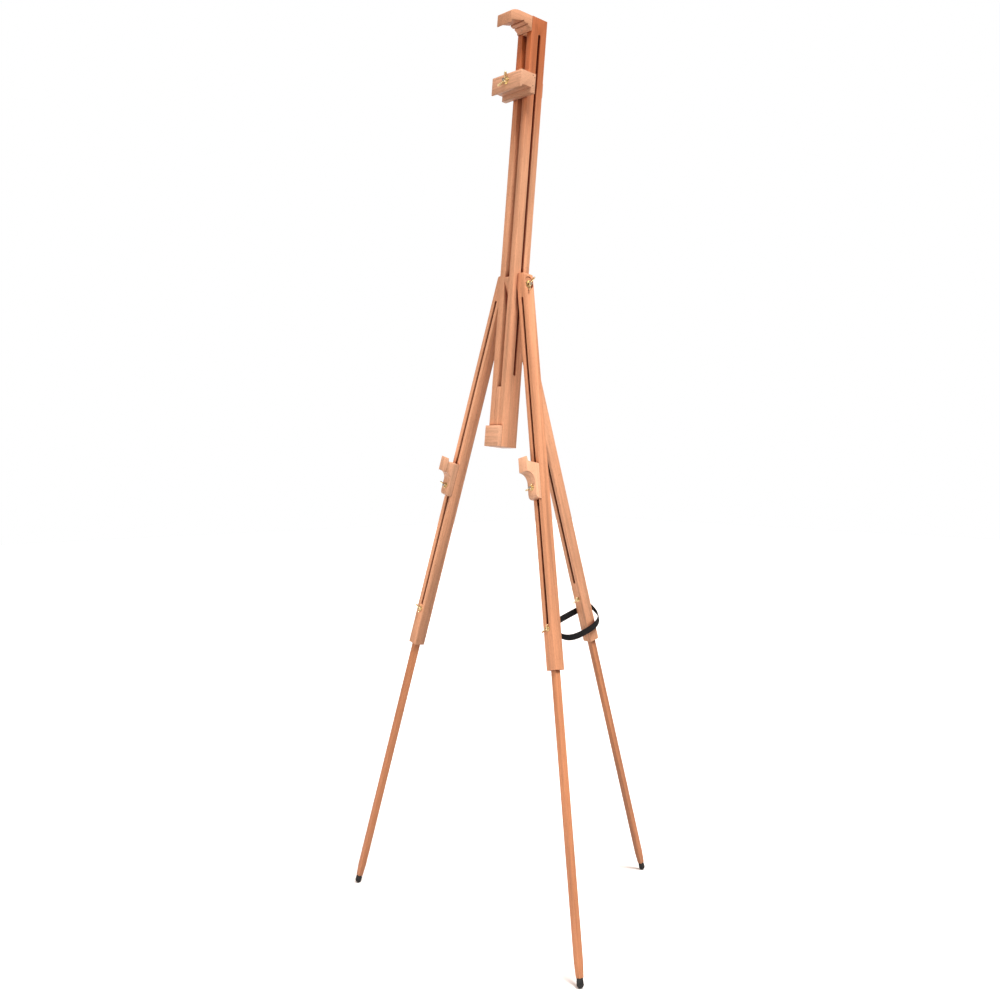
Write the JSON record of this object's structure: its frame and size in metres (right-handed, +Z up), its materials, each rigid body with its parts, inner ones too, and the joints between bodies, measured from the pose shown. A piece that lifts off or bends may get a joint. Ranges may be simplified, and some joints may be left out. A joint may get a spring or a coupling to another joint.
{
  "type": "tripod field easel",
  "caption": "Folding beech tripod field easel with a slotted sliding mast, top hook, sliding canvas clamp, telescopic legs and a carrying strap.",
  "frame": {"origin": "on the floor, in the middle of the easel's outer box", "axes": "+Z up; the canvas side faces -Y; the rear leg stands towards +Y; +X is to the right of someone who faces the canvas side"},
  "size_m": [0.9236, 0.7126, 2.3727],
  "materials": {
    "beech": "oiled, open grain",
    "brass": "cast and tumbled, a little dull",
    "steel": "zinc plated",
    "rubber": "matt",
    "webbing": "woven hook-and-loop tape"
  },
  "bodies": {
    "head": {"head_bolt": "steel", "head_bolt_washer": "brass", "head_bolt_head_washer": "brass"},
    "head_nut": {"head_wing_nut": "brass"},
    "mast_carrier": {"mast_bush_right": "brass", "mast_bush_left": "brass"},
    "mast": {"mast_right_rail": "beech", "mast_left_rail": "beech", "mast_top_spacer": "beech", "mast_bottom_spacer": "beech", "mast_foot_block": "beech", "top_canvas_hook": "beech"},
    "clamp": {"canvas_clamp_block": "beech", "clamp_rear_plate": "beech", "clamp_bolt": "steel", "clamp_washer": "brass"},
    "clamp_nut": {"clamp_wing_nut": "brass"},
    "right_leg": {"right_upper_leg": "beech", "right_leg_insert": "brass"},
    "right_leg_lock": {"right_leg_wing_screw": "brass"},
    "right_leg_extension": {"right_lower_leg": "beech", "right_rubber_foot": "rubber"},
    "right_rest": {"right_canvas_rest": "beech", "right_rest_bolt": "steel", "right_rest_washer": "brass"},
    "right_rest_nut": {"right_rest_wing_nut": "brass"},
    "left_leg": {"left_upper_leg": "beech", "left_leg_insert": "brass"},
    "left_leg_lock": {"left_leg_wing_screw": "brass"},
    "left_leg_extension": {"left_lower_leg": "beech", "left_rubber_foot": "rubber"},
    "left_rest": {"left_canvas_rest": "beech", "left_rest_bolt": "steel", "left_rest_washer": "brass"},
    "left_rest_nut": {"left_rest_wing_nut": "brass"},
    "rear_leg": {"rear_upper_leg": "beech", "rear_leg_insert": "brass", "carrying_strap": "webbing", "strap_screw": "brass"},
    "rear_leg_lock": {"rear_leg_wing_screw": "brass"},
    "rear_leg_extension": {"rear_lower_leg": "beech", "rear_rubber_foot": "rubber"}
  },
  "joints": [
    {"name": "head_nut_turn", "type": "hinge", "parent": "head", "child": "head_nut", "pos_m": [0.061, -0.15279, 1.66577], "axis": [1, 0, 0], "continuous": true},
    {"name": "mast_tilt", "type": "hinge", "parent": "head", "child": "mast_carrier", "pos_m": [0, -0.15279, 1.66577], "axis": [-1, 0, 0], "range_deg": [-5.5, 25]},
    {"name": "mast_slide", "type": "slide", "parent": "mast_carrier", "child": "mast", "axis": [0, 0.0969, 0.9953], "range_m": [-0.2, 0.11]},
    {"name": "clamp_slide", "type": "slide", "parent": "mast", "child": "clamp", "axis": [0, 0.0969, 0.9953], "range_m": [-0.24, 0.1]},
    {"name": "clamp_nut_turn", "type": "hinge", "parent": "clamp", "child": "clamp_nut", "pos_m": [0, -0.18672, 2.19455], "axis": [0, -0.9953, 0.0969], "continuous": true},
    {"name": "right_leg_fold", "type": "hinge", "parent": "head", "child": "right_leg", "pos_m": [0.0274, -0.15279, 1.66577], "axis": [0, 0.9932, -0.1168], "range_deg": [0, 13.8]},
    {"name": "right_leg_lock_turn", "type": "hinge", "parent": "right_leg", "child": "right_leg_lock", "pos_m": [0.25766, -0.27271, 0.80058], "axis": [0, -0.9932, 0.1168], "continuous": true},
    {"name": "right_leg_telescope", "type": "slide", "parent": "right_leg", "child": "right_leg_extension", "axis": [-0.2387, 0.1135, 0.9644], "range_m": [0, 0.68]},
    {"name": "right_rest_slide", "type": "slide", "parent": "right_leg", "child": "right_rest", "axis": [-0.2387, 0.1135, 0.9644], "range_m": [-0.3, 0.35]},
    {"name": "right_rest_nut_turn", "type": "hinge", "parent": "right_rest", "child": "right_rest_nut", "pos_m": [0.17388, -0.25274, 1.14143], "axis": [0, -0.9932, 0.1168], "continuous": true},
    {"name": "left_leg_fold", "type": "hinge", "parent": "head", "child": "left_leg", "pos_m": [-0.0274, -0.15279, 1.66577], "axis": [0, -0.9932, 0.1168], "range_deg": [0, 13.8]},
    {"name": "left_leg_lock_turn", "type": "hinge", "parent": "left_leg", "child": "left_leg_lock", "pos_m": [-0.25766, -0.27271, 0.80058], "axis": [0, -0.9932, 0.1168], "continuous": true},
    {"name": "left_leg_telescope", "type": "slide", "parent": "left_leg", "child": "left_leg_extension", "axis": [0.2387, 0.1135, 0.9644], "range_m": [0, 0.68]},
    {"name": "left_rest_slide", "type": "slide", "parent": "left_leg", "child": "left_rest", "axis": [0.2387, 0.1135, 0.9644], "range_m": [-0.3, 0.35]},
    {"name": "left_rest_nut_turn", "type": "hinge", "parent": "left_rest", "child": "left_rest_nut", "pos_m": [-0.17388, -0.25274, 1.14143], "axis": [0, -0.9932, 0.1168], "continuous": true},
    {"name": "rear_leg_swing", "type": "hinge", "parent": "head", "child": "rear_leg", "pos_m": [0, -0.15279, 1.66577], "axis": [1, 0, 0], "range_deg": [-4, 10]},
    {"name": "rear_leg_lock_turn", "type": "hinge", "parent": "rear_leg", "child": "rear_leg_lock", "pos_m": [0, 0.07979, 0.81978], "axis": [0, -0.9559, -0.2935], "continuous": true},
    {"name": "rear_leg_telescope", "type": "slide", "parent": "rear_leg", "child": "rear_leg_extension", "axis": [0, -0.2935, 0.9559], "range_m": [0, 0.62]}
  ]
}
